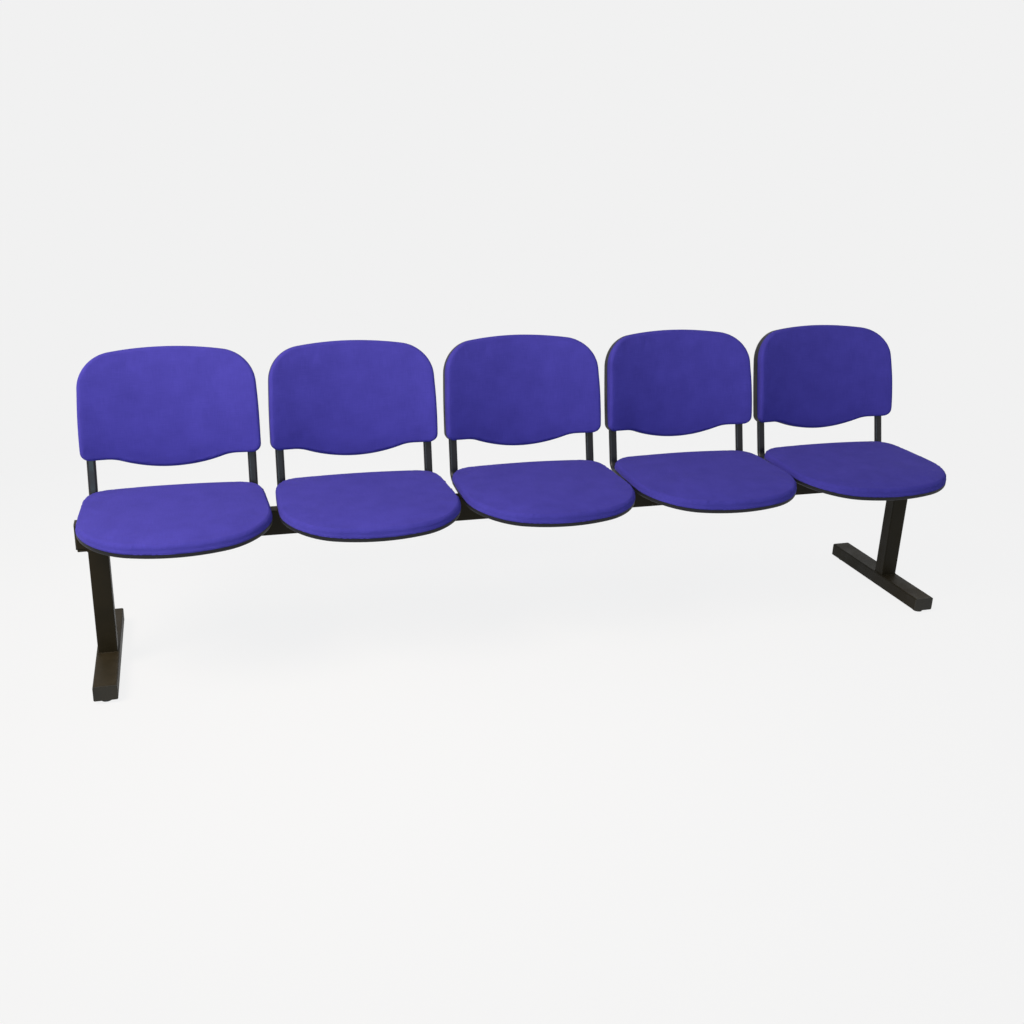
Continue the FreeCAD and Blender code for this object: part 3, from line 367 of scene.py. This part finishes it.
def evaluated_mesh(piece):
    """Plain mesh of a piece with its modifiers."""
    depsgraph = bpy.context.evaluated_depsgraph_get()
    return bpy.data.meshes.new_from_object(piece.evaluated_get(depsgraph))


def settle(piece, **modifiers):
    """Applies modifiers given as kind and settings, in order."""
    for kind, settings in modifiers.items():
        modifier = piece.modifiers.new(kind.lower(), kind)
        for name, setting in settings.items():
            setattr(modifier, name, setting)
        mesh = evaluated_mesh(piece)
        piece.modifiers.clear()
        piece.data = mesh
    return piece


def stuff(piece, held, limit, pressure=4.0, frames=20):
    """Cloth simulation of a tight cover over foam: it swells by up to a limit, and the
    points where the cloth is stapled to its board are held."""
    start = points_of(piece.data)
    staples = piece.vertex_groups.new(name="stapled")
    staples.add([int(i) for i in np.flatnonzero(held)], 1.0, "REPLACE")
    cover = piece.modifiers.new("cover", "CLOTH")
    cover.settings.vertex_group_mass = staples.name
    cover.settings.quality = 4
    cover.settings.mass = 0.2
    cover.settings.use_pressure = True
    cover.settings.uniform_pressure_force = pressure
    cover.settings.effector_weights.gravity = 0
    cover.point_cache.frame_start = 1
    cover.point_cache.frame_end = frames
    for step in range(1, frames + 1):
        scene.frame_set(step)
    swollen = points_of(evaluated_mesh(piece))
    piece.modifiers.clear()
    piece.vertex_groups.clear()
    scene.frame_set(1)
    move = swollen - start
    length = np.linalg.norm(move, axis=1, keepdims=True)
    place_points(piece.data, start + move * np.minimum(1, limit / np.maximum(length, 1e-9)))


def wrap_cloth(mesh, flat, depth):
    """UV map in metres: the cloth lies flat on the cushion's face and goes on over its edge."""
    outward = flat / np.maximum(np.linalg.norm(flat, axis=1, keepdims=True), 1e-6)
    layer = mesh.uv_layers.new(name="cloth")
    corner = np.zeros(len(mesh.loops), int)
    mesh.loops.foreach_get("vertex_index", corner)
    spot = flat + outward * depth[:, None]
    layer.data.foreach_set("uv", spot[corner].ravel())


def normals_of(mesh):
    """Vertex normals as rows."""
    flat = np.zeros(len(mesh.vertices) * 3)
    mesh.vertices.foreach_get("normal", flat)
    return flat.reshape(-1, 3)


def open_surface(mesh, height_of):
    """Search tree over a cushion's plain shape without the face that lies on its board."""
    faces = [
        tuple(face.vertices)
        for face in mesh.polygons
        if height_of(np.array([face.center]))[0] > ON_BOARD
    ]
    return BVHTree.FromPolygons([vertex.co for vertex in mesh.vertices], faces)


def draw_in(points, heights, surface):
    """Holds the cloth to its board's outline where it is stapled, and lets it stand a
    little proud of the plain shape, or sink a little, higher up."""
    drawn = points.copy()
    free = np.clip((heights - STAPLED) / STAPLED, 0, 1)
    for index in np.flatnonzero(heights > ON_BOARD):
        spot = Vector(points[index])
        nearest, _, _, distance = surface.find_nearest(spot)
        offset = spot - nearest
        leeway = CUSHION_LEEWAY * free[index] * math.tanh(distance / CUSHION_SWELL)
        drawn[index] = nearest + offset * (leeway / max(distance, 1e-9))
    return drawn


def upholster(piece, height_of):
    """Cloth pulled tight over foam on a board. The cloth swells in a simulation, and is
    then drawn in to the board's outline."""
    surface = open_surface(piece.data, height_of)
    settle(piece, REMESH={"mode": "VOXEL", "voxel_size": CUSHION_VOXEL})
    # Smaller to start with, because it swells
    points = points_of(piece.data)
    slack = np.clip(height_of(points) / STAPLED, 0, 1)
    place_points(piece.data, points - normals_of(piece.data) * (CUSHION_SPARE * slack)[:, None])
    settle(piece, SMOOTH={"factor": 0.5, "iterations": 1})
    stuff(piece, height_of(points_of(piece.data)) < 0.001, CUSHION_SWELL)
    settle(piece, SMOOTH={"factor": 0.5, "iterations": 2})
    settle(piece, SUBSURF={"levels": 1, "render_levels": 1})
    points = points_of(piece.data)
    place_points(piece.data, draw_in(points, height_of(points), surface))


def finish_cushion(master, name, move, seed, replaced):
    """One cushion at its place, a little different from its neighbours."""
    mesh = master.data.copy()
    mesh.name = name
    points = points_of(mesh)
    shift = Vector((seed * 7.3, seed * 3.1, seed * 5.7))
    swell = np.array([noise.noise(Vector(p) * CUSHION_WAVES + shift) for p in points])
    points += normals_of(mesh) * (swell * CUSHION_DIFFERENCE)[:, None]
    place_points(mesh, points)
    mesh.transform(move)
    mesh.polygons.foreach_set("use_smooth", [True] * len(mesh.polygons))
    mesh.materials.clear()
    mesh.materials.append(cloth)
    piece = bpy.data.objects.new(name, mesh)
    scene.collection.objects.link(piece)
    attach(piece, BODY)
    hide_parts(replaced)
    return piece


def unbent(points):
    """Points of a seat as if its front weren't turned down."""
    ahead = seat_bend_y - points[:, 1]
    up = points[:, 2] - seat_bend_z
    turned = ahead > 0
    flat = points.copy()
    flat[:, 1] = np.where(turned, seat_bend_y - np.arctan2(ahead, up) * SEAT_BEND_RADIUS, points[:, 1])
    flat[:, 2] = np.where(turned, np.hypot(ahead, up) + seat_bend_z, points[:, 2])
    return flat


def bent(flat):
    """Turns the front of a seat down again."""
    angle = np.maximum(seat_bend_y - flat[:, 1], 0) / SEAT_BEND_RADIUS
    radius = flat[:, 2] - seat_bend_z
    points = flat.copy()
    points[:, 1] = np.where(angle > 0, seat_bend_y - radius * np.sin(angle), flat[:, 1])
    points[:, 2] = np.where(angle > 0, seat_bend_z + radius * np.cos(angle), flat[:, 2])
    return points


def seat_cushions():
    """Crowned cushions on flat boards, tight, with a rolled edge, turned down in front."""
    master = copied("seat_pad_%d" % MIDDLE, "seat_cushion")
    place_points(master.data, unbent(points_of(master.data)))
    upholster(master, lambda points: points[:, 2] - seat_rim)
    points = points_of(master.data)
    flat = points[:, :2] - (0, beam_y)
    wrap_cloth(master.data, flat, points[:, 2].max() - points[:, 2])
    place_points(master.data, bent(points))
    for place in PLACES:
        move = Matrix.Translation((PITCH * (place - MIDDLE), 0, 0))
        node = "seat_pad_%d" % place
        finish_cushion(master, "seat_cushion_%d" % place, move, place, node)
    bpy.data.objects.remove(master)


def back_cushions():
    """Cushions bent round the sitter, tight over their boards."""
    master = copied("back_pad_%d" % MIDDLE, "back_cushion")
    # The back's own frame stands upright at the foot of its board
    upright = Matrix.Rotation(BACK_LEAN, 4, "X")
    master.data.transform(upright)
    points = points_of(master.data)
    # The axis of the bend: the board's front is a cylinder, found from the pad's rear face
    axis_y = points[np.abs(points[:, 0]) < 0.03][:, 1].max() - BACK_BEND
    middle_z = (points[:, 2].max() + points[:, 2].min()) / 2

    def height_of(spots):
        return BACK_BEND - np.hypot(spots[:, 0], spots[:, 1] - axis_y)

    upholster(master, height_of)
    points = points_of(master.data)
    turn = np.arctan2(points[:, 0], points[:, 1] - axis_y)
    flat = np.stack([turn * BACK_BEND, points[:, 2] - middle_z], axis=1)
    heights = height_of(points)
    wrap_cloth(master.data, flat, heights.max() - heights)
    for place in PLACES:
        move = Matrix.Translation((PITCH * (place - MIDDLE), 0, 0)) @ upright.inverted()
        node = "back_pad_%d" % place
        finish_cushion(master, "back_cushion_%d" % place, move, place + 10, node)
    bpy.data.objects.remove(master)


seat_cushions()
back_cushions()


# Welds

BEAD_RADIUS = 0.0018
BEAD_PITCH = 0.0024

# Leg column's section, and the plate on its top
COLUMN_WIDTH = 0.05
COLUMN_DEPTH = 0.04
TOP_PLATE = 0.005

# Seam between a frame tube and its seat plate: from the place's middle, and below the plate's top
TUBE_WELD_X = 0.1993
TUBE_WELD_DROP = 0.0048


def bead_tree():
    """Weld bead along a path: overlapping ripples of slightly uneven size."""
    tree = bpy.data.node_groups.new("weld_bead", "GeometryNodeTree")
    sockets = {
        "Path": "NodeSocketGeometry",
        "Pitch": "NodeSocketFloat",
        "Radius": "NodeSocketFloat",
        "Seed": "NodeSocketInt",
        "Finish": "NodeSocketMaterial",
    }
    for name, kind in sockets.items():
        tree.interface.new_socket(name, in_out="INPUT", socket_type=kind)
    tree.interface.new_socket("Beads", in_out="OUTPUT", socket_type="NodeSocketGeometry")
    given = add(tree, "NodeGroupInput").outputs
    line = add(tree, "GeometryNodeMeshToCurve", {"Mesh": given["Path"]}).outputs["Curve"]
    steps = add(
        tree, "GeometryNodeResampleCurve", {"Curve": line, "Length": given["Pitch"]}, mode="LENGTH"
    )
    inputs = {"Segments": 8, "Rings": 5, "Radius": given["Radius"]}
    ripple = add(tree, "GeometryNodeMeshUVSphere", inputs).outputs["Mesh"]
    uneven = add(tree, "FunctionNodeRandomValue", {2: 0.8, 3: 1.15, "Seed": given["Seed"]}).outputs[1]
    inputs = {"Points": steps.outputs["Curve"], "Instance": ripple, "Scale": uneven}
    copies = add(tree, "GeometryNodeInstanceOnPoints", inputs).outputs["Instances"]
    solid = add(tree, "GeometryNodeRealizeInstances", {"Geometry": copies}).outputs["Geometry"]
    inputs = {"Geometry": solid, "Material": given["Finish"]}
    done = add(tree, "GeometryNodeSetMaterial", inputs).outputs["Geometry"]
    add(tree, "NodeGroupOutput", {"Beads": done})
    return tree


def weld(name, paths, finish, seed):
    """Beads along open paths, as one piece."""
    corners = []
    edges = []
    for path in paths:
        first = len(corners)
        corners += path
        edges += [(first + index, first + index + 1) for index in range(len(path) - 1)]
    mesh = bpy.data.meshes.new(name)
    mesh.from_pydata(corners, edges, [])
    piece = bpy.data.objects.new(name, mesh)
    scene.collection.objects.link(piece)
    modifier = piece.modifiers.new("beads", "NODES")
    modifier.node_group = weld_bead
    values = {"Pitch": BEAD_PITCH, "Radius": BEAD_RADIUS, "Seed": seed, "Finish": finish}
    for socket in weld_bead.interface.items_tree:
        if socket.name in values:
            modifier[socket.identifier] = values[socket.name]
    beads = evaluated_mesh(piece)
    piece.modifiers.clear()
    piece.data = beads
    beads.polygons.foreach_set("use_smooth", [True] * len(beads.polygons))
    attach(piece, BODY)
    return piece


def ring(x, y, z, half_x, half_y):
    """Rectangle round an upright tube."""
    turns = ((-1, -1), (1, -1), (1, 1), (-1, 1), (-1, -1))
    return [(x + a * half_x, y + b * half_y, z) for a, b in turns]


def weld_legs():
    """Columns welded to the feet and to their top plates."""
    foot_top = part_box("foot_bar_left")[1].z
    column_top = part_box("leg_column_left")[1].z - TOP_PLATE
    for side in ("left", "right"):
        low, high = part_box("leg_column_%s" % side)
        x, y = (low.x + high.x) / 2, beam_y
        paths = [ring(x, y, z, COLUMN_WIDTH / 2, COLUMN_DEPTH / 2) for z in (foot_top, column_top)]
        weld("weld_leg_%s" % side, paths, frame_coat, 3)


def weld_tubes():
    """Frame tubes welded along the edges of their seat plates."""
    for place in PLACES:
        middle = PITCH * (place - MIDDLE)
        low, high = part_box("seat_bracket_%d" % place)
        rear = high.y - BEAD_RADIUS
        front = beam_high.y + BEAD_RADIUS
        level = high.z - TUBE_WELD_DROP
        paths = [
            [(x, front, level), (x, rear, level)]
            for x in (middle - TUBE_WELD_X, middle + TUBE_WELD_X)
        ]
        weld("weld_seat_frame_%d" % place, paths, tube_coat, place)


weld_bead = bead_tree()
weld_legs()
weld_tubes()


# Camera, floor and light

# The photograph's camera, worked out from the two feet, the beam and the five places: image
# sizes in pixels, turns in degrees, and its place in metres from the beam's middle
FRAME = 1024
FOCAL = 1075.35
OPTICAL_CENTRE = (470, 480)
SENSOR = 36
CAMERA_TURNS = (15.427, 19.297, -1.382)
CAMERA_X = -0.9579
CAMERA_BEFORE_BEAM = 2.7304
CAMERA_Z = 1.4549

BACKDROP = "#F1F1F1"


def aim_camera():
    """Stands where the photograph was taken: left of the middle, above the seats."""
    data = bpy.data.cameras.new("camera")
    camera = bpy.data.objects.new("camera", data)
    scene.collection.objects.link(camera)
    yaw, down, roll = (math.radians(angle) for angle in CAMERA_TURNS)
    level = math.cos(down)
    forward = Vector((math.sin(yaw) * level, math.cos(yaw) * level, -math.sin(down)))
    right = Vector((math.cos(yaw), -math.sin(yaw), 0))
    below = forward.cross(right)
    across = math.cos(roll) * right + math.sin(roll) * below
    under = -math.sin(roll) * right + math.cos(roll) * below
    turn = Matrix((across, -under, -forward)).transposed().to_4x4()
    place = Matrix.Translation((CAMERA_X, beam_y - CAMERA_BEFORE_BEAM, CAMERA_Z))
    camera.matrix_world = place @ turn
    data.sensor_width = SENSOR
    data.lens = FOCAL * SENSOR / FRAME
    data.shift_x = (FRAME / 2 - OPTICAL_CENTRE[0]) / FRAME
    data.shift_y = (OPTICAL_CENTRE[1] - FRAME / 2) / FRAME
    data.clip_end = 100
    scene.camera = camera


def seen(tree):
    """1 for rays that show the scene, to the eye or in a gloss, and 0 for rays that light it."""
    rays = add(tree, "ShaderNodeLightPath").outputs
    shown = maths(tree, "MAXIMUM", rays["Is Camera Ray"], rays["Is Glossy Ray"])
    return maths(tree, "MAXIMUM", shown, rays["Is Transmission Ray"])


def lay_floor():
    """Pale floor without an end: it keeps a soft shadow, its seen glow is painted whiter near the
    bench as a painted pool of light, and it fades into the backdrop far out.
    """
    bpy.ops.mesh.primitive_circle_add(vertices=96, radius=40, fill_type="NGON")
    floor = bpy.context.object
    floor.name = "floor"
    values = {"Roughness": 0.9, "Specular IOR Level": 0.1}
    material, tree, shader = new_material("matt_pale_floor", **values)
    point = object_point(tree)
    reach = add(tree, "ShaderNodeVectorMath", {0: point}, operation="LENGTH").outputs["Value"]
    screed = colour_between(tree, blotches(tree, point, 900), "#BEBEBE", "#C2C2C2")
    feed(tree, shader, Base_Color=screed)
    far = spread(tree, reach, 0.0, 1.0, 0.6, 2.4)
    # Painted pool of light: the seen glow is whiter near the bench than far out.
    pale = mixed(tree, far, linear("#FDFDFD"), linear(BACKDROP))
    glow = add(tree, "ShaderNodeEmission", {"Color": pale})
    part = maths(tree, "MULTIPLY", seen(tree), spread(tree, far, 0.86, 1.0))
    blend = add(tree, "ShaderNodeMixShader", {0: part, 1: shader.outputs[0], 2: glow.outputs[0]})
    output = next(n for n in tree.nodes if n.type == "OUTPUT_MATERIAL")
    tree.links.new(blend.outputs[0], output.inputs["Surface"])
    floor.data.materials.append(material)


def hang_backdrop():
    """Even studio light from all round, and the pale backdrop that is seen."""
    world = bpy.data.worlds.new("studio")
    world.use_nodes = True
    tree = world.node_tree
    tree.nodes.clear()
    soft = add(tree, "ShaderNodeBackground", {"Color": linear("#EAF0FF"), "Strength": 0.42})
    shown = add(tree, "ShaderNodeBackground", {"Color": linear(BACKDROP), "Strength": 1.0})
    inputs = {0: seen(tree), 1: soft.outputs[0], 2: shown.outputs[0]}
    blend = add(tree, "ShaderNodeMixShader", inputs)
    add(tree, "ShaderNodeOutputWorld", {"Surface": blend.outputs[0]})
    scene.world = world


def soft_lamp(name, at, target, size, watts, colour="#FFFFFF"):
    """Large square studio lamp."""
    data = bpy.data.lights.new(name, "AREA")
    data.shape = "SQUARE"
    data.size = size
    data.energy = watts
    data.color = linear(colour)[:3]
    lamp = bpy.data.objects.new(name, data)
    scene.collection.objects.link(lamp)
    lamp.location = at
    lamp.rotation_euler = (Vector(target) - Vector(at)).to_track_quat("-Z", "Y").to_euler()


aim_camera()
lay_floor()
hang_backdrop()
soft_lamp("key", (-2.5, -1.3, 2.9), (-0.3, 0, 0.5), 1.6, 155, "#FFEEDC")
soft_lamp("fill", (-1.8, -4.3, 1.5), (0, 0, 0.5), 1.6, 36, "#C0ECFF")

scene.view_settings.view_transform = "Standard"
